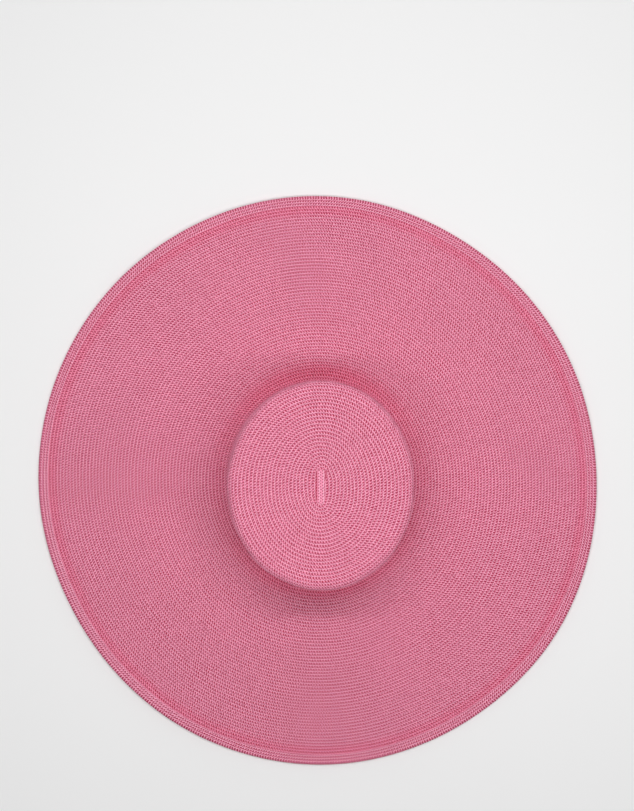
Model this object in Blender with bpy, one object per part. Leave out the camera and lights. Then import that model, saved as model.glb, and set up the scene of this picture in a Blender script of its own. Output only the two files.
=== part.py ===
"""A wide-brimmed boater hat, machine sewn in one spiral from one long straw braid.

The hat is four pieces: the crown shell, the brim, the doubled hem around its rim, and the flat tab of
braid that starts the spiral in the middle of the tip. It stands on its rim with the crown up.

Metres, +Z up, +Y towards the wearer's front, +X to one side. The origin is on the surface that the hat
stands on, in the middle of the rim's box.
"""

import math

import bmesh
import bpy
from mathutils import Vector

# The shell: braid rows that overlap by half, and the gap that neighbouring pieces keep
WALL = 0.0024
JOIN_GAP = 0.0003

# The crown, measured outside. A head is longer than it is wide.
BASE_WIDTH = 0.178
BASE_LENGTH = 0.195
TIP_WIDTH = 0.169
TIP_LENGTH = 0.1895
CROWN_HEIGHT = 0.097
SHOULDER_RADIUS = 0.012

# Where the crown's foot stands in the brim, and how far the tip leans from there
FOOT_OFF_X = 0.0028
FOOT_OFF_Y = 0.0007
TIP_LEAN_X = 0.0010
TIP_LEAN_Y = 0.0003

# The brim, measured over its hem. Its drop is from the foot of the crown to the rim.
BRIM_WIDTH = 0.550
BRIM_LENGTH = 0.559
BRIM_DROP = 0.021
COVE_RADIUS = 0.006
UPSTAND_HEIGHT = 0.002

# The hem, two braids thick
HEM_WIDTH = 0.0105
HEM_THICKNESS = 0.0040

# The tab of braid on the tip
TAB_WIDTH = 0.0076
TAB_LENGTH = 0.0310
TAB_THICKNESS = 0.0012
TAB_CORNER_RADIUS = 0.0025
TAB_OFF_X = 0.0005

# How finely the shapes are divided
SEGMENTS = 96
BRIM_STEPS = 8
WALL_STEPS = 3
ARC_STEPS = 4
CORNER_STEPS = 3

# The rim isn't a perfect oval, and it lifts a little between the places where it touches the ground.
# angle: degrees from +X towards +Y.
# out: how far it stands outside the oval, as a share of the half-width.
# lift: how far it stands above its lowest place, as a share of the drop.
RIM_SWAY = (
    {"angle": 0, "out": 0.001, "lift": 0.10},
    {"angle": 30, "out": -0.003, "lift": 0.16},
    {"angle": 60, "out": -0.006, "lift": 0.05},
    {"angle": 90, "out": 0.002, "lift": 0.12},
    {"angle": 120, "out": 0.000, "lift": 0.18},
    {"angle": 150, "out": 0.001, "lift": 0.06},
    {"angle": 180, "out": -0.004, "lift": 0.00},
    {"angle": 210, "out": -0.016, "lift": 0.08},
    {"angle": 240, "out": -0.010, "lift": 0.10},
    {"angle": 270, "out": -0.001, "lift": 0.03},
    {"angle": 300, "out": 0.002, "lift": 0.00},
    {"angle": 330, "out": 0.011, "lift": 0.05},
)

# The hem's section, from its inner top corner over the rim to its inner bottom corner.
# out: share of the hem's width. up: share of its thickness, from the middle of the section.
HEM_SECTION = (
    {"out": 0.00, "up": 0.42},
    {"out": 0.07, "up": 0.50},
    {"out": 0.84, "up": 0.50},
    {"out": 0.96, "up": 0.32},
    {"out": 1.00, "up": 0.00},
    {"out": 0.96, "up": -0.32},
    {"out": 0.84, "up": -0.50},
    {"out": 0.07, "up": -0.50},
    {"out": 0.00, "up": -0.42},
)

# How much of the brim's drop is a straight slope. The rest curves, so that the rim droops the most.
STRAIGHT_DROP = 0.7

# How far the hem's top stands above the brim's, as a share of the wall
HEM_PROUD = 0.15

PINK = (0.640, 0.215, 0.315, 1.0)
DEEP_PINK = (0.600, 0.190, 0.285, 1.0)
PALE_PINK = (0.720, 0.300, 0.410, 1.0)


def clear_scene():
    for old in list(bpy.data.objects):
        bpy.data.objects.remove(old, do_unlink=True)


def braid_material(name, colour):
    """Dyed straw braid: a matt, slightly rough surface."""
    material = bpy.data.materials.new(name)
    material.use_nodes = True
    shader = material.node_tree.nodes["Principled BSDF"]
    shader.inputs["Base Color"].default_value = colour
    shader.inputs["Roughness"].default_value = 0.7
    shader.inputs["Metallic"].default_value = 0.0
    return material


def segment_angles():
    return [2 * math.pi * step / SEGMENTS for step in range(SEGMENTS)]


def sway(column, angle):
    """A column of RIM_SWAY at an angle, on a smooth closed curve through its rows."""
    rows = len(RIM_SWAY)
    place = math.degrees(angle) % 360 / 360 * rows
    first = int(place)
    part = place - first
    before, start, end, after = (RIM_SWAY[(first + step) % rows][column] for step in (-1, 0, 1, 2))
    slope_start = (end - before) / 2
    slope_end = (after - start) / 2
    rise = 3 * (end - start) - 2 * slope_start - slope_end
    ease = 2 * (start - end) + slope_start + slope_end
    return start + part * (slope_start + part * (rise + part * ease))


def crown_point(angle, height, inset=0.0):
    """A point of the crown's outside at a height, moved in square to its oval by inset.

    The wall leans straight from the foot's oval to the tip's, which it reaches where the shoulder begins.
    """
    wall_height = CROWN_HEIGHT - SHOULDER_RADIUS
    share = min(height, wall_height) / wall_height
    half_width = (BASE_WIDTH + (TIP_WIDTH - BASE_WIDTH) * share) / 2
    half_length = (BASE_LENGTH + (TIP_LENGTH - BASE_LENGTH) * share) / 2
    square_out = Vector((half_length * math.cos(angle), half_width * math.sin(angle), 0)).normalized()
    middle = Vector((FOOT_OFF_X + TIP_LEAN_X * share, FOOT_OFF_Y + TIP_LEAN_Y * share, height))
    outline = middle + Vector((half_width * math.cos(angle), half_length * math.sin(angle), 0))
    return outline - square_out * inset


def rim_point(angle):
    """The outer edge of the hem in plan."""
    outward = Vector((math.cos(angle), math.sin(angle)))
    oval = Vector((BRIM_WIDTH / 2 * outward.x, BRIM_LENGTH / 2 * outward.y))
    return oval + outward * sway("out", angle) * BRIM_WIDTH / 2


def brim_foot(angle):
    """Where the cove ends and the brim's slope begins, in plan."""
    return crown_point(angle, 0.0, inset=-COVE_RADIUS).to_2d()


def brim_point(angle, share):
    """The brim's top surface. share runs from 0 at the end of the cove to 1 at the hem's outer edge."""
    plan = brim_foot(angle).lerp(rim_point(angle), share)
    drop = BRIM_DROP * (1 - sway("lift", angle))
    fall = STRAIGHT_DROP * share + (1 - STRAIGHT_DROP) * share * share
    return Vector((plan.x, plan.y, -drop * fall))


def hem_share(angle):
    """The share of the brim's width at which the hem starts."""
    width = (rim_point(angle) - brim_foot(angle)).length
    return 1 - HEM_WIDTH / width


def lofted(name, rings, tube=False, capped=False):
    """A mesh through rings of points, each a circle of vertices moved into place and bridged to the next.

    A tube's last ring is bridged to its first. A capped sheet is closed by a flat face in its last ring.
    """
    bm = bmesh.new()
    loops = []
    for ring in rings:
        earlier = len(bm.edges)
        circle = bmesh.ops.create_circle(bm, segments=SEGMENTS, radius=1.0)["verts"]
        for vertex, point in zip(circle, ring):
            vertex.co = point
        bm.edges.ensure_lookup_table()
        loops.append(bm.edges[earlier:])
    following = loops[1:] + loops[:1] if tube else loops[1:]
    for loop, next_loop in zip(loops, following):
        bmesh.ops.bridge_loops(bm, edges=loop + next_loop)
    if capped:
        bmesh.ops.contextual_create(bm, geom=loops[-1])
    bmesh.ops.recalc_face_normals(bm, faces=bm.faces)
    upward = sum(face.normal.z * face.calc_area() for face in bm.faces)
    if not tube and upward < 0:
        bmesh.ops.reverse_faces(bm, faces=bm.faces)
    mesh = bpy.data.meshes.new(name)
    bm.to_mesh(mesh)
    bm.free()
    return mesh


def add_piece(name, mesh, material, hat):
    piece = bpy.data.objects.new(name, mesh)
    piece.parent = hat
    mesh.materials.append(material)
    mesh.shade_smooth()
    mesh.set_sharp_from_angle(angle=math.radians(40))
    bpy.context.scene.collection.objects.link(piece)
    return piece


def thicken(piece):
    """Gives a sheet its wall, on the side away from its faces."""
    shell = piece.modifiers.new("wall", "SOLIDIFY")
    shell.thickness = WALL
    shell.offset = -1.0
    shell.use_even_offset = True


def build_crown(hat):
    """The outer skin from the foot of the wall up over the shoulder to the flat tip, made a shell."""
    foot = COVE_RADIUS + UPSTAND_HEIGHT + JOIN_GAP
    shoulder_foot = CROWN_HEIGHT - SHOULDER_RADIUS
    rings = []
    for step in range(WALL_STEPS):
        height = foot + (shoulder_foot - foot) * step / WALL_STEPS
        rings.append([crown_point(angle, height) for angle in segment_angles()])
    for step in range(ARC_STEPS + 1):
        turn = math.pi / 2 * step / ARC_STEPS
        height = shoulder_foot + SHOULDER_RADIUS * math.sin(turn)
        inset = SHOULDER_RADIUS * (1 - math.cos(turn))
        rings.append([crown_point(angle, height, inset) for angle in segment_angles()])
    mesh = lofted("crown", rings, capped=True)
    thicken(add_piece("crown", mesh, braid_material("crown_braid", PINK), hat))


def build_brim(hat):
    """The top skin from the upstand under the crown wall, round the cove and down the slope to the hem."""
    rings = [[crown_point(angle, COVE_RADIUS + UPSTAND_HEIGHT) for angle in segment_angles()]]
    for step in range(ARC_STEPS):
        turn = math.pi / 2 * step / ARC_STEPS
        out = COVE_RADIUS * (1 - math.cos(turn))
        rise = Vector((0, 0, COVE_RADIUS * (1 - math.sin(turn))))
        rings.append([crown_point(angle, 0.0, -out) + rise for angle in segment_angles()])
    for step in range(BRIM_STEPS + 1):
        share = step / BRIM_STEPS
        rings.append([brim_point(angle, hem_share(angle) * share) for angle in segment_angles()])
    mesh = lofted("brim", rings)
    thicken(add_piece("brim", mesh, braid_material("brim_braid", PINK), hat))


def build_hem(hat):
    """The doubled rows around the rim: a closed section carried round, tilted with the brim's slope."""
    rings = []
    for corner in HEM_SECTION:
        ring = []
        for angle in segment_angles():
            inner = brim_point(angle, hem_share(angle))
            outward = (brim_point(angle, 1.0) - inner).normalized()
            around = Vector((-math.sin(angle), math.cos(angle), 0))
            upward = outward.cross(around)
            middle = HEM_PROUD * WALL - HEM_THICKNESS / 2
            along = JOIN_GAP + corner["out"] * (HEM_WIDTH - JOIN_GAP)
            ring.append(inner + outward * along + upward * (middle + corner["up"] * HEM_THICKNESS))
        rings.append(ring)
    mesh = lofted("brim_hem", rings, tube=True)
    return add_piece("brim_hem", mesh, braid_material("hem_braid", DEEP_PINK), hat)


def build_start_tab(hat):
    """The braid's flat end, lying front to back on the middle of the tip, with rounded ends."""
    bm = bmesh.new()
    bmesh.ops.create_cube(bm, size=1.0)
    bmesh.ops.scale(bm, vec=(TAB_WIDTH, TAB_LENGTH, TAB_THICKNESS), verts=bm.verts)
    upright = [edge for edge in bm.edges if edge.verts[0].co.z * edge.verts[1].co.z < 0]
    bmesh.ops.bevel(
        bm, geom=upright, offset=TAB_CORNER_RADIUS, offset_type="OFFSET", affect="EDGES",
        segments=CORNER_STEPS, profile=0.5, material=-1,
    )
    mesh = bpy.data.meshes.new("start_tab")
    bm.to_mesh(mesh)
    bm.free()
    tab = add_piece("start_tab", mesh, braid_material("tab_braid", PALE_PINK), hat)
    middle_x = FOOT_OFF_X + TIP_LEAN_X + TAB_OFF_X
    tab.location = (middle_x, FOOT_OFF_Y + TIP_LEAN_Y, CROWN_HEIGHT + JOIN_GAP + TAB_THICKNESS / 2)


def stand_on_rim(hat, hem):
    """Lifts the hat so that its rim just touches the ground, with the rim's box in the middle of the frame."""
    across, along, upward = zip(*(vertex.co for vertex in hem.data.vertices))
    hat.location.x = -(min(across) + max(across)) / 2
    hat.location.y = -(min(along) + max(along)) / 2
    hat.location.z = -min(upward)


clear_scene()
hat = bpy.data.objects.new("hat", None)
bpy.context.scene.collection.objects.link(hat)
build_crown(hat)
build_brim(hat)
hem = build_hem(hat)
build_start_tab(hat)
stand_on_rim(hat, hem)
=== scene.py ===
import math

import bmesh
import bpy
import numpy as np
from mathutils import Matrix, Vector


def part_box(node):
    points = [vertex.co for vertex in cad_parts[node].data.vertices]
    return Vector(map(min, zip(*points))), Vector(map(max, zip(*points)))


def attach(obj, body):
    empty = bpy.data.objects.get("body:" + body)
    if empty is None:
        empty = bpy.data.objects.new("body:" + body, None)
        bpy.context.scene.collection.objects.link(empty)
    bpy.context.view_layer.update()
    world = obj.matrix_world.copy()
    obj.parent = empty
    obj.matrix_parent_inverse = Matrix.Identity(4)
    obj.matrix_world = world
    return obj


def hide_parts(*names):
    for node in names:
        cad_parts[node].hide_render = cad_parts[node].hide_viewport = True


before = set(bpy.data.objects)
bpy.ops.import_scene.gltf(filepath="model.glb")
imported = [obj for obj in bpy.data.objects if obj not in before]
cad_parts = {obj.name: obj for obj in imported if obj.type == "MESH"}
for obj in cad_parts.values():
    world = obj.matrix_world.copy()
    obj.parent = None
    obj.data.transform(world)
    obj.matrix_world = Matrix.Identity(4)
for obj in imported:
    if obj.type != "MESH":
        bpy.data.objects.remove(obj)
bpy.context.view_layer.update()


# The form that the braid is sewn over: a flat oval tip, a rounded shoulder, an upright wall, a small cove
# at its foot, and a wide brim that falls gently to the rim. It has the sizes of the solids, in metres, and
# no piece of its own.
CROWN_HEIGHT = 0.097
WALL_TOP = 0.089
SHOULDER_RADIUS = 0.008
COVE_RADIUS = 0.006
UPSTAND_HEIGHT = 0.002
BASE_HALF = (0.089, 0.0975)
TIP_HALF = (0.0845, 0.09475)
TIP_LEAN = (0.0010, 0.0003)
HEM_WIDTH = 0.0105
RIM_BELOW_BRIM = 0.0016
STRAIGHT_DROP = 0.7

# The oval that the first row is sewn round, which is the flat end of the braid. It is squarer than an ellipse.
CORE_HALF = (0.0038, 0.0155)
CORE_SQUARENESS = 0.77

# The rows of braid, counted outwards from the flat end, at which each zone of the hat ends
TIP_END = 22.0
SHOULDER_END = 26.0
WALL_END = 52.0
COVE_END = 55.5
BRIM_END = 109.5

tab_low, tab_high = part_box("start_tab")
TAB_OFF_X = 0.0005
tip_middle = ((tab_low.x + tab_high.x) / 2 - TAB_OFF_X, (tab_low.y + tab_high.y) / 2)
foot_middle = (tip_middle[0] - TIP_LEAN[0], tip_middle[1] - TIP_LEAN[1])
foot_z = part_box("crown")[1].z - CROWN_HEIGHT


def waves(angle):
    """The waves round the hat that its rim is a sum of."""
    turns = np.multiply.outer(angle, np.arange(1, 15))
    ones = np.ones(np.shape(angle) + (1,))
    return np.concatenate([ones, np.cos(turns), np.sin(turns)], axis=-1)


def measure_rim():
    """The outermost line of the hem's solid, as waves of its radius and of its height."""
    segments = 96
    x, y, z = np.array([vertex.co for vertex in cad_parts["brim_hem"].data.vertices]).T
    radius = np.hypot(x, y)
    angle = np.arctan2(y, x)
    segment = np.round(angle / (2 * math.pi) * segments).astype(int) % segments
    outermost = [np.flatnonzero(segment == place)[radius[segment == place].argmax()] for place in range(segments)]
    known = waves(angle[outermost])
    return [np.linalg.lstsq(known, values[outermost], rcond=None)[0] for values in (radius, z)]


rim_radius_waves, rim_height_waves = measure_rim()


def sewn_form(row, angle):
    """The smooth outside of the hat, at a row of the braid and an angle from +X towards +Y."""
    cosine, sine = np.cos(angle), np.sin(angle)
    shoulder_turn = np.clip((SHOULDER_END - row) / (SHOULDER_END - TIP_END), 0, 1) * math.pi / 2
    down_wall = np.clip((row - SHOULDER_END) / (WALL_END - SHOULDER_END), 0, 1)
    cove_length = UPSTAND_HEIGHT + COVE_RADIUS * math.pi / 2
    down_cove = np.clip((row - WALL_END) / (COVE_END - WALL_END), 0, 1) * cove_length
    cove_turn = np.clip((down_cove - UPSTAND_HEIGHT) / COVE_RADIUS, 0, math.pi / 2)
    height = WALL_TOP + SHOULDER_RADIUS * np.sin(shoulder_turn)
    height = height - (WALL_TOP - COVE_RADIUS - UPSTAND_HEIGHT) * down_wall
    height = height - np.minimum(down_cove, UPSTAND_HEIGHT) - COVE_RADIUS * np.sin(cove_turn)
    inset = SHOULDER_RADIUS * (1 - np.cos(shoulder_turn)) - COVE_RADIUS * (1 - np.cos(cove_turn))

    up_wall = np.minimum(height, WALL_TOP) / WALL_TOP
    half_x, half_y = ((base + (tip - base) * up_wall) for base, tip in zip(BASE_HALF, TIP_HALF))
    square = np.hypot(half_y * cosine, half_x * sine)
    x = foot_middle[0] + TIP_LEAN[0] * up_wall + half_x * cosine - inset * half_y * cosine / square
    y = foot_middle[1] + TIP_LEAN[1] * up_wall + half_y * sine - inset * half_x * sine / square

    across_tip = np.minimum(row / TIP_END, 1)
    core_x = tip_middle[0] + CORE_HALF[0] * np.sign(cosine) * np.abs(cosine) ** CORE_SQUARENESS
    core_y = tip_middle[1] + CORE_HALF[1] * np.sign(sine) * np.abs(sine) ** CORE_SQUARENESS
    x = core_x + (x - core_x) * across_tip
    y = core_y + (y - core_y) * across_tip

    rim_radius = waves(angle) @ rim_radius_waves
    rim_x, rim_y = rim_radius * cosine, rim_radius * sine
    hem_share = 1 - HEM_WIDTH / np.hypot(rim_x - x, rim_y - y)
    down_brim = np.maximum((row - COVE_END) / (BRIM_END - COVE_END), 0) * hem_share
    drop = foot_z - RIM_BELOW_BRIM - waves(angle) @ rim_height_waves
    z = foot_z + height - drop * (STRAIGHT_DROP * down_brim + (1 - STRAIGHT_DROP) * down_brim ** 2)
    x = x + (rim_x - x) * down_brim
    y = y + (rim_y - y) * down_brim
    return np.stack(np.broadcast_arrays(x, y, z), axis=-1)


def square_to_form(row, angle):
    """The direction straight out of the form."""
    step = 0.01
    outward = sewn_form(row + step, angle) - sewn_form(row - step, angle)
    around = sewn_form(row, angle + step) - sewn_form(row, angle - step)
    normal = np.cross(outward, around)
    return normal / np.linalg.norm(normal, axis=-1, keepdims=True)


# The crown, sewn from one long flat straw braid of about 7 mm, wound outwards in a spiral. Each row laps
# over the one before it by half and is held by a line of machine stitches under the lap, so a row shows
# its thick outer edge as a rib, with the open plait beside it.
WALL = 0.0024
TURNS_START = math.radians(80)

# A row seen from the side. share: how far out on the row. stands: metres above the form.
ROW_SECTION = (
    {"share": 0.00, "stands": -0.00030},
    {"share": 0.28, "stands": -0.00014},
    {"share": 0.58, "stands": 0.00004},
    {"share": 0.80, "stands": 0.00022},
    {"share": 0.95, "stands": 0.00020},
)

# How far the rows stray from an even spacing, in rows. lobes: waves in a turn. bend: radians a row.
STRAY = (
    {"rows": 0.060, "lobes": 2, "bend": 0.31, "start": 0.4},
    {"rows": 0.050, "lobes": 5, "bend": -0.47, "start": 2.1},
    {"rows": 0.035, "lobes": 9, "bend": 0.83, "start": 4.0},
    {"rows": 0.022, "lobes": 17, "bend": -1.31, "start": 1.2},
)

# How far the sewn straw lies out of true, in metres, with the same columns
BUCKLE = (
    {"metres": 0.00030, "lobes": 3, "bend": 0.09, "start": 1.0},
    {"metres": 0.00025, "lobes": 7, "bend": -0.16, "start": 3.2},
    {"metres": 0.00015, "lobes": 13, "bend": 0.27, "start": 5.1},
)

# Lengths of braid between one gap in the plait and the next, in metres
STITCH = 0.0026


def ripple(table, size, row, angle):
    """The sum of a table's waves over the hat."""
    return sum(
        wave[size] * np.sin(wave["lobes"] * angle + wave["bend"] * row + wave["start"])
        for wave in table
    )


def braid_point(row, angle, stands):
    """A point of the sewn braid, which strays a little from the form."""
    true_row = row + ripple(STRAY, "rows", row, angle)
    out = stands + ripple(BUCKLE, "metres", row, angle)
    return sewn_form(true_row, angle) + square_to_form(true_row, angle) * out[..., None]


def mesh_grid(name, points):
    """A grid of faces over an array of points, with no seams merged yet."""
    high, wide = points.shape[:2]
    bm = bmesh.new()
    bmesh.ops.create_grid(bm, x_segments=wide - 1, y_segments=high - 1, size=0.5)
    mesh = bpy.data.meshes.new(name)
    bm.to_mesh(mesh)
    bm.free()
    mesh.vertices.foreach_set("co", points.reshape(-1))
    return mesh


def corner_places(mesh, wide):
    """For each face, the grid row and column that its four corners have."""
    corners = np.empty(len(mesh.loops), dtype=np.int32)
    mesh.loops.foreach_get("vertex_index", corners)
    return np.divmod(corners.reshape(-1, 4), wide)


def close_mesh(mesh):
    """Merges the seams, fills the ends, and turns the faces outwards."""
    bm = bmesh.new()
    bm.from_mesh(mesh)
    bmesh.ops.remove_doubles(bm, verts=bm.verts, dist=2e-6)
    open_edges = [edge for edge in bm.edges if edge.is_boundary]
    bmesh.ops.holes_fill(bm, edges=open_edges, sides=0)
    bmesh.ops.recalc_face_normals(bm, faces=bm.faces)
    bm.to_mesh(mesh)
    bm.free()


# Painted shade in folds, darker and redder, like shade lit by light bounced off the straw: at the foot of the
# crown, and along the seam of the hem. row: where. flat, fade: how wide, in rows. sides, ends: how deep at the
# sides, and how much more at front and back.
FOLD_SHADE = (
    {"row": 55.0, "flat": 1.5, "fade": 2.6, "sides": 0.20, "ends": 0.45},
    {"row": 108.6, "flat": 0.7, "fade": 1.3, "sides": 0.40, "ends": 0.0},
)

# Painted shade in grooves on the tip that are no lap of the rows: beside the flat end, and where the first row
# starts. start, end: their ends in metres. half: half their width. dark: how much of the gaps' painted shade they
# take.
GROOVE_SHADE = (
    {"start": (-0.0012, -0.0115), "end": (-0.0010, 0.0135), "half": 0.0007, "dark": 0.9},
    {"start": (0.0068, 0.0071), "end": (0.0081, 0.0149), "half": 0.0006, "dark": 0.9},
)


def mark_fold_shade(mesh, row, angle):
    """Gives each vertex its share of the painted shade in the folds, for the straw's material."""
    fold_shade = 0 * row
    for place in FOLD_SHADE:
        near = np.exp(-(np.maximum(np.abs(row - place["row"]) - place["flat"], 0) / place["fade"]) ** 2)
        fold_shade = np.maximum(fold_shade, near * (place["sides"] + place["ends"] * np.sin(angle) ** 2))
    layer = mesh.attributes.new("fold_shade", "FLOAT", "POINT")
    layer.data.foreach_set("value", fold_shade.reshape(-1).astype(np.float32))


def mark_groove_shade(mesh, points):
    """Gives each vertex the painted shade of the grooves at its place, for the straw's material."""
    groove_shade = np.zeros(points.shape[:-1])
    for groove in GROOVE_SHADE:
        start, end = np.array(groove["start"]), np.array(groove["end"])
        share = np.clip((points[..., :2] - start) @ (end - start) / ((end - start) @ (end - start)), 0, 1)
        away = np.linalg.norm(points[..., :2] - start - share[..., None] * (end - start), axis=-1)
        groove_shade = np.maximum(groove_shade, groove["dark"] * np.exp(-(away / groove["half"]) ** 2))
    layer = mesh.attributes.new("groove_shade", "FLOAT", "POINT")
    layer.data.foreach_set("value", groove_shade.reshape(-1).astype(np.float32))


def finish_piece(name, mesh, material, node):
    piece = bpy.data.objects.new(name, mesh)
    bpy.context.scene.collection.objects.link(piece)
    mesh.materials.append(material)
    mesh.shade_smooth()
    mesh.set_sharp_from_angle(angle=math.radians(60))
    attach(piece, "root")
    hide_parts(node)
    return piece


def braid_shell(name, first_row, last_row, columns):
    """Rows of the spiral from first_row to last_row: the sewn outside, and the inside a wall below it."""
    turn = np.linspace(0.0, 1.0, columns + 1)
    angle = TURNS_START - 2 * math.pi * turn
    rows = np.arange(first_row, last_row)
    share = np.array([place["share"] for place in ROW_SECTION])
    stands = np.array([place["stands"] for place in ROW_SECTION])

    outside_row = np.append(np.add.outer(rows, share), last_row)
    outside_stands = np.append(np.tile(stands, len(rows)), stands[0])
    inside_row = np.arange(last_row, first_row - 0.25, -0.5)
    inside_stands = np.where(inside_row % 1 == 0, -WALL - 0.00015, -WALL + 0.00020)
    section_row = np.concatenate([outside_row, inside_row, outside_row[:1]])
    section_stands = np.concatenate([outside_stands, inside_stands, outside_stands[:1]])
    points = braid_point(section_row[:, None] + turn, angle, section_stands[:, None] + 0 * turn)
    mesh = mesh_grid(name, points)
    # Painted shade for the grooves and folds, kept on the vertices for the material.
    mark_groove_shade(mesh, points)
    mark_fold_shade(mesh, section_row[:, None] + turn, angle)

    middle = sewn_form(rows[:, None] + 0.5 + turn, angle)
    steps = np.linalg.norm(np.diff(middle, axis=1), axis=2)
    along = np.append(0, np.cumsum(steps)) / STITCH
    plait_at = along[np.arange(len(rows))[:, None] * columns + np.arange(columns + 1)]

    inside = np.arange(len(section_row)) >= len(outside_row)
    plait_row = section_row + np.where(inside, 0.5, 0.0)
    low_end = np.minimum(plait_row[:-1], plait_row[1:])
    row_of_band = np.floor(low_end + 1e-6)
    grid_row, grid_column = corner_places(mesh, columns + 1)
    band = grid_row.min(axis=1, keepdims=True)
    v = np.minimum(plait_row[grid_row], row_of_band[band] + 0.9995)
    v = np.maximum(v, row_of_band[band])
    which = np.clip(row_of_band[band] - first_row, 0, len(rows) - 1).astype(int)
    u = plait_at[which, grid_column]
    layer = mesh.uv_layers.new(name="braid")
    layer.uv.foreach_set("vector", np.stack([u, v], axis=-1).reshape(-1).astype(np.float32))
    close_mesh(mesh)
    return mesh


def linear(code):
    """An sRGB hex colour as the linear values that Blender works in."""
    shares = [int(code[place:place + 2], 16) / 255 for place in (1, 3, 5)]
    curved = [share / 12.92 if share <= 0.04045 else ((share + 0.055) / 1.055) ** 2.4 for share in shares]
    return (*curved, 1.0)


def add_node(tree, kind, settings=None, inputs=None):
    """Adds a node with its settings, and with each of its inputs linked or given a value."""
    node = tree.nodes.new(kind)
    for name, value in (settings or {}).items():
        setattr(node, name, value)
    for socket, value in (inputs or {}).items():
        if isinstance(value, bpy.types.NodeSocket):
            tree.links.new(value, node.inputs[socket])
        else:
            node.inputs[socket].default_value = value
    return node


# The gaps in the plait, which carry painted shade. at: their place, in stitches along the braid and as a share
# of the row. half: half their size in the same measures. dark: how much of the gaps' painted shade they take.
BRAID_GAPS = (
    {"at": (0.00, 0.24), "half": (0.30, 0.40), "lean": 0.40, "dark": 1.0, "seed": 0.0},
    {"at": (0.50, 0.64), "half": (0.26, 0.22), "lean": -0.60, "dark": 0.7, "seed": 37.0},
)
SCATTER = 0.12


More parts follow.
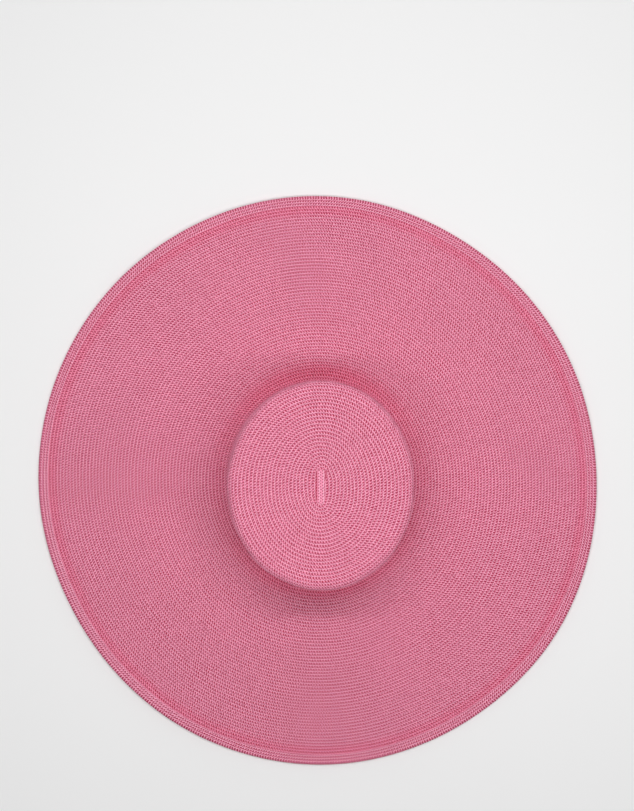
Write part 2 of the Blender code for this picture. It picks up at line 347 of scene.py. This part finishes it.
def straw_braid(name, gaps_table, strand, shade, gap_shade_colour, rib_highlight):
    """Dyed straw, plaited: matt strands with a faint sheen, painted shade in the gaps, grooves and folds, and a
    painted highlight on the raised edge of each row.
    """
    material = bpy.data.materials.new(name)
    material.use_nodes = True
    tree = material.node_tree
    shader = tree.nodes["Principled BSDF"]
    shader.inputs["Specular IOR Level"].default_value = 0.2
    place = add_node(tree, "ShaderNodeUVMap", {"uv_map": "braid"})
    parts = add_node(tree, "ShaderNodeSeparateXYZ", None, {0: place.outputs["UV"]})
    across = add_node(tree, "ShaderNodeMath", {"operation": "FRACT"}, {0: parts.outputs["Y"]})

    painted_shade = None
    for gaps in gaps_table:
        shift = (SCATTER / 2 - gaps["at"][0] + gaps["seed"], SCATTER / 2 - gaps["at"][1] + gaps["seed"], 0)
        moved = add_node(tree, "ShaderNodeVectorMath", {"operation": "ADD"}, {0: place.outputs["UV"], 1: shift})
        cells = add_node(
            tree, "ShaderNodeTexVoronoi", {"voronoi_dimensions": "2D", "feature": "F1"},
            {"Vector": moved.outputs[0], "Scale": 1.0, "Randomness": SCATTER},
        )
        away = add_node(
            tree, "ShaderNodeVectorMath", {"operation": "SUBTRACT"},
            {0: moved.outputs[0], 1: cells.outputs["Position"]},
        )
        offset = add_node(tree, "ShaderNodeSeparateXYZ", None, {0: away.outputs[0]})
        chance = add_node(tree, "ShaderNodeSeparateColor", None, {0: cells.outputs["Color"]})
        lean = add_node(
            tree, "ShaderNodeMapRange", None,
            {"Value": chance.outputs[0], "To Min": gaps["lean"] - 0.1, "To Max": gaps["lean"] + 0.1},
        )
        leaning = add_node(
            tree, "ShaderNodeMath", {"operation": "MULTIPLY_ADD"},
            {0: offset.outputs["Y"], 1: lean.outputs[0], 2: offset.outputs["X"]},
        )
        sized = add_node(
            tree, "ShaderNodeCombineXYZ", None, {"X": leaning.outputs[0], "Y": offset.outputs["Y"]},
        )
        scaled = add_node(
            tree, "ShaderNodeVectorMath", {"operation": "DIVIDE"},
            {0: sized.outputs[0], 1: (*gaps["half"], 1.0)},
        )
        distance = add_node(tree, "ShaderNodeVectorMath", {"operation": "LENGTH"}, {0: scaled.outputs[0]})
        depth = add_node(
            tree, "ShaderNodeMapRange", {"interpolation_type": "SMOOTHSTEP"},
            {"Value": distance.outputs["Value"], "From Min": 1.1, "From Max": 0.7},
        )
        strength = add_node(
            tree, "ShaderNodeMapRange", None,
            {"Value": chance.outputs[1], "To Min": 0.85 * gaps["dark"], "To Max": gaps["dark"]},
        )
        hollow = add_node(
            tree, "ShaderNodeMath", {"operation": "MULTIPLY"}, {0: depth.outputs[0], 1: strength.outputs[0]},
        )
        if painted_shade is None:
            painted_shade = hollow
        else:
            painted_shade = add_node(
                tree, "ShaderNodeMath", {"operation": "MAXIMUM"}, {0: painted_shade.outputs[0], 1: hollow.outputs[0]},
            )

    streak_place = add_node(
        tree, "ShaderNodeMapping", None, {"Vector": place.outputs["UV"], "Scale": (2.6, 9.0, 1.0)},
    )
    streaks = add_node(
        tree, "ShaderNodeTexNoise", {"noise_dimensions": "2D"},
        {"Vector": streak_place.outputs[0], "Scale": 1.0, "Detail": 3.0, "Roughness": 0.6},
    )
    straw = add_node(
        tree, "ShaderNodeMix", {"data_type": "RGBA"},
        {0: streaks.outputs[0], 6: linear(shade), 7: linear(strand)},
    )
    # Painted highlight: the raised edge of each row is made paler, where light would catch it.
    rib_highlight_share = add_node(
        tree, "ShaderNodeMapRange", {"interpolation_type": "SMOOTHSTEP"},
        {"Value": across.outputs[0], "From Min": 0.74, "From Max": 0.86},
    )
    rib_highlighted = add_node(
        tree, "ShaderNodeMix", {"data_type": "RGBA"},
        {0: rib_highlight_share.outputs[0], 6: straw.outputs[2], 7: linear(rib_highlight)},
    )
    # Painted shade in the grooves on the tip, joined with the painted shade in the gaps.
    groove_shade = add_node(tree, "ShaderNodeAttribute", {"attribute_name": "groove_shade"})
    painted_shade = add_node(
        tree, "ShaderNodeMath", {"operation": "MAXIMUM"}, {0: painted_shade.outputs[0], 1: groove_shade.outputs["Fac"]},
    )
    # Painted shade: the gaps and grooves take the dark gap colour.
    gap_shaded = add_node(
        tree, "ShaderNodeMix", {"data_type": "RGBA"},
        {0: painted_shade.outputs[0], 6: rib_highlighted.outputs[2], 7: linear(gap_shade_colour)},
    )
    everywhere = add_node(tree, "ShaderNodeTexCoord")
    dye = add_node(
        tree, "ShaderNodeTexNoise", None,
        {"Vector": everywhere.outputs["Object"], "Scale": 14.0, "Detail": 3.0},
    )
    dye_light = add_node(
        tree, "ShaderNodeMapRange", None,
        {"Value": dye.outputs[0], "From Min": 0.3, "From Max": 0.7, "To Min": 0.98, "To Max": 1.02},
    )
    dyed = add_node(
        tree, "ShaderNodeHueSaturation", None,
        {"Color": gap_shaded.outputs[2], "Value": dye_light.outputs[0]},
    )
    # Painted shade in the folds: the colour is multiplied by a pale pink, darker and redder like shade lit by
    # bounced light.
    fold_shade = add_node(tree, "ShaderNodeAttribute", {"attribute_name": "fold_shade"})
    fold_shaded = add_node(
        tree, "ShaderNodeMix", {"data_type": "RGBA", "blend_type": "MULTIPLY"},
        {0: fold_shade.outputs["Fac"], 6: dyed.outputs[0], 7: linear("#ffc0d2")},
    )
    tree.links.new(fold_shaded.outputs[2], shader.inputs["Base Color"])

    sheen = add_node(
        tree, "ShaderNodeMapRange", None,
        {"Value": streaks.outputs[0], "From Min": 0.3, "From Max": 0.7, "To Min": 0.72, "To Max": 0.52},
    )
    tree.links.new(sheen.outputs[0], shader.inputs["Roughness"])
    relief = add_node(
        tree, "ShaderNodeMath", {"operation": "MULTIPLY_ADD"},
        {0: painted_shade.outputs[0], 1: -1.0, 2: 1.0},
    )
    relief = add_node(
        tree, "ShaderNodeMath", {"operation": "MULTIPLY_ADD"},
        {0: streaks.outputs[0], 1: 0.35, 2: relief.outputs[0]},
    )
    bump = add_node(
        tree, "ShaderNodeBump", None, {"Strength": 1.0, "Distance": 0.0005, "Height": relief.outputs[0]},
    )
    tree.links.new(bump.outputs[0], shader.inputs["Normal"])
    return material


# The gap colour is painted shade, and the rib colour a painted highlight.
braid = straw_braid(
    "dyed_straw_braid", BRAID_GAPS, strand="#ffb2ce", shade="#ff88ae", gap_shade_colour="#ae0038", rib_highlight="#ffbcd4",
)
crown_mesh = braid_shell("crown_braid", first_row=-1, last_row=52, columns=240)
finish_piece("crown_braid", crown_mesh, braid, "crown")


# The brim, which carries the same spiral on from the foot of the crown, with more braid let in so that it
# lies nearly flat. It is two pieces here, parted along a row's lap, to keep each mesh a fair size.
inner_mesh = braid_shell("brim_braid_inner", first_row=52, last_row=83, columns=330)
finish_piece("brim_braid_inner", inner_mesh, braid, "brim")
outer_mesh = braid_shell("brim_braid_outer", first_row=83, last_row=110, columns=360)
finish_piece("brim_braid_outer", outer_mesh, braid, "brim")


# The hem, where the last rows are folded under the rim and sewn down double. It is thicker than the brim
# and has a rounded edge, and a seam shows along its inner side, with painted shade on the brim beside it.
HEM_ROWS = 3
HEM_THICKNESS = 0.0040
HEM_PROUD = 0.00036
HEM_COLUMNS = 480
EDGE_STEPS = 7


def hem_section():
    """The hem's section as (out, up, row): metres out from its inner side, metres up, and the braid's row."""
    flat = HEM_WIDTH - HEM_THICKNESS / 2
    top = [
        (flat * (row + place["share"]) / HEM_ROWS, HEM_PROUD + place["stands"], BRIM_END + row + place["share"])
        for row in range(HEM_ROWS)
        for place in ROW_SECTION
    ]
    edge = []
    for step in range(EDGE_STEPS):
        turn = math.pi * step / (EDGE_STEPS - 1)
        out = flat + math.sin(turn) * HEM_THICKNESS / 2
        up = HEM_PROUD - HEM_THICKNESS / 2 + math.cos(turn) * HEM_THICKNESS / 2
        edge.append((out, up, BRIM_END + HEM_ROWS + 0.5 + 0.45 * step / (EDGE_STEPS - 1)))
    under = [
        (out, HEM_PROUD - HEM_THICKNESS - up, 2 * BRIM_END + 2 * HEM_ROWS + 4 - row)
        for out, up, row in [(out, up - HEM_PROUD, row) for out, up, row in reversed(top)]
    ]
    return np.array(top + edge + under + top[:1])


def hem_ring():
    angle = np.linspace(0.0, 2 * math.pi, HEM_COLUMNS + 1)
    out, up, row = hem_section().T
    inner = sewn_form(BRIM_END + 0 * angle, angle)
    rim_radius = waves(angle) @ rim_radius_waves
    rim_height = waves(angle) @ rim_height_waves + RIM_BELOW_BRIM
    rim = np.stack([rim_radius * np.cos(angle), rim_radius * np.sin(angle), rim_height], axis=-1)
    outward = (rim - inner) / np.linalg.norm(rim - inner, axis=-1, keepdims=True)
    around = np.stack([-np.sin(angle), np.cos(angle), 0 * angle], axis=-1)
    upward = np.cross(outward, around)
    lift = up[:, None] + ripple(BUCKLE, "metres", BRIM_END, angle)
    points = inner + out[:, None, None] * outward + lift[..., None] * upward
    mesh = mesh_grid("hem_braid", points)
    steps = np.linalg.norm(np.diff(rim, axis=0), axis=1)
    along = np.append(0, np.cumsum(steps)) / STITCH
    grid_row, grid_column = corner_places(mesh, HEM_COLUMNS + 1)
    uv = np.stack([along[grid_column], row[grid_row]], axis=-1)
    layer = mesh.uv_layers.new(name="braid")
    layer.uv.foreach_set("vector", uv.reshape(-1).astype(np.float32))
    close_mesh(mesh)
    return mesh


finish_piece("hem_braid", hem_ring(), braid, "brim_hem")


# The tab: the flat end of the braid on the middle of the tip, where the sewing starts. Its plait is finer
# and paler than the rows around it, between two raised edges.
TAB_COLUMNS = 24
TAB_ROWS = 90
TAB_CORNER = 0.0022
TAB_BORDER_RISE = 0.0004
TAB_SUNK = 0.0006
TAB_STITCH = 0.0026
TAB_PLAITS = 1.7
TAB_MIDDLE_ROW = 1.24
TAB_NARROWER = 0.0013

# The gaps in the tab's plait, which carry painted shade, with the same columns as the braid's
TAB_GAPS = (
    {"at": (0.00, 0.24), "half": (0.24, 0.20), "lean": 0.5, "dark": 0.9, "seed": 0.0},
    {"at": (0.50, 0.74), "half": (0.24, 0.20), "lean": -0.5, "dark": 0.9, "seed": 0.0},
)


def tab_mesh():
    half_x = (tab_high.x - tab_low.x - TAB_NARROWER) / 2
    half_y = (tab_high.y - tab_low.y) / 2
    middle_x = tab_low.x + half_x
    middle_y = (tab_high.y + tab_low.y) / 2
    across = np.linspace(-1, 1, TAB_COLUMNS + 1)
    along = np.linspace(-1, 1, TAB_ROWS + 1)[:, None]
    into_corner = np.maximum(np.abs(along) * half_y - (half_y - TAB_CORNER), 0)
    wide = half_x - TAB_CORNER + np.sqrt(TAB_CORNER ** 2 - into_corner ** 2 + 1e-9)
    x = middle_x + across * wide
    y = middle_y + along * half_y + 0 * across
    border = np.exp(-((1 - np.abs(across)) / 0.25) ** 2)
    z = tab_high.z - TAB_BORDER_RISE * (1 - border) + 0 * along
    mesh = mesh_grid("start_tab_braid", np.stack([x, y, z], axis=-1))
    grid_row, grid_column = corner_places(mesh, TAB_COLUMNS + 1)
    u = along[grid_row, 0] * half_y / TAB_STITCH
    v = TAB_MIDDLE_ROW + across[grid_column] * TAB_PLAITS / 2
    layer = mesh.uv_layers.new(name="braid")
    layer.uv.foreach_set("vector", np.stack([u, v], axis=-1).reshape(-1).astype(np.float32))
    bm = bmesh.new()
    bm.from_mesh(mesh)
    outline = [edge for edge in bm.edges if edge.is_boundary]
    skirt = bmesh.ops.extrude_edge_only(bm, edges=outline)["geom"]
    for vertex in skirt:
        if isinstance(vertex, bmesh.types.BMVert):
            vertex.co.z = tab_low.z - TAB_SUNK
    bmesh.ops.holes_fill(bm, edges=[edge for edge in bm.edges if edge.is_boundary], sides=0)
    bmesh.ops.recalc_face_normals(bm, faces=bm.faces)
    bm.to_mesh(mesh)
    bm.free()
    return mesh


# The gap colour is painted shade, and the rib colour a painted highlight.
tab_braid = straw_braid(
    "fine_straw_plait", TAB_GAPS, strand="#ffaeca", shade="#ff8eb2", gap_shade_colour="#a80038", rib_highlight="#ffbad2",
)
finish_piece("start_tab_braid", tab_mesh(), tab_braid, "start_tab")


# The stage: a pale floor that the hat stands on by its rim.
FLOOR_SIZE = 12.0
floor_bm = bmesh.new()
bmesh.ops.create_grid(floor_bm, x_segments=1, y_segments=1, size=FLOOR_SIZE / 2)
floor_mesh = bpy.data.meshes.new("floor")
floor_bm.to_mesh(floor_mesh)
floor_bm.free()
floor = bpy.data.objects.new("floor", floor_mesh)
bpy.context.scene.collection.objects.link(floor)
paper = bpy.data.materials.new("matt_white_paper")
paper.use_nodes = True
paper.node_tree.nodes["Principled BSDF"].inputs["Base Color"].default_value = linear("#f4f4f4")
paper.node_tree.nodes["Principled BSDF"].inputs["Roughness"].default_value = 0.9
floor_mesh.materials.append(paper)

# The light: two long strips overhead, before and behind the camera, a low panel in front, and a soft
# white surrounding. tilt: degrees from facing straight down, towards the wearer's back.
LAMPS = (
    {"name": "front_strip", "x": 0.04, "y": 0.45, "z": 1.35, "long": 1.3, "wide": 0.14, "tilt": 0, "turn": 0, "watts": 10.4},
    {"name": "back_strip", "x": 0.08, "y": -0.28, "z": 1.35, "long": 1.8, "wide": 0.17, "tilt": 0, "turn": 0, "watts": 9.7},
    {"name": "front_panel", "x": 0.0, "y": 2.4, "z": 1.0, "long": 4.0, "wide": 1.4, "tilt": 90, "turn": 0, "watts": 17.0},
    {"name": "back_panel", "x": 0.0, "y": -2.4, "z": 1.0, "long": 4.0, "wide": 1.4, "tilt": 90, "turn": 180, "watts": 5.0},
    {"name": "left_panel", "x": -2.4, "y": 0.0, "z": 1.0, "long": 4.0, "wide": 1.4, "tilt": 90, "turn": 90, "watts": 7.0},
    {"name": "right_panel", "x": 2.4, "y": 0.0, "z": 1.0, "long": 4.0, "wide": 1.4, "tilt": 90, "turn": -90, "watts": 9.0},
)
for place in LAMPS:
    lamp = bpy.data.lights.new(place["name"], "AREA")
    lamp.shape = "RECTANGLE"
    lamp.size = place["long"]
    lamp.size_y = place["wide"]
    lamp.energy = place["watts"]
    light = bpy.data.objects.new(place["name"], lamp)
    light.location = (place["x"], place["y"], place["z"])
    light.rotation_euler = (-math.radians(place["tilt"]), 0, math.radians(place["turn"]))
    light.visible_camera = False
    bpy.context.scene.collection.objects.link(light)

world = bpy.data.worlds.new("studio")
world.use_nodes = True
world.node_tree.nodes["Background"].inputs["Color"].default_value = linear("#ffffff")
world.node_tree.nodes["Background"].inputs["Strength"].default_value = 0.04
bpy.context.scene.world = world
bpy.context.scene.view_settings.view_transform = "Standard"

# The camera looks straight down, as in the photograph.
PHOTO_HEIGHT = 811
FOCAL_PIXELS = 1476
camera_data = bpy.data.cameras.new("camera")
camera_data.sensor_width = 36.0
camera_data.lens = camera_data.sensor_width * FOCAL_PIXELS / PHOTO_HEIGHT
camera = bpy.data.objects.new("camera", camera_data)
camera.location = (-0.0005, 0.0736, 1.4518)
bpy.context.scene.collection.objects.link(camera)
bpy.context.scene.camera = camera
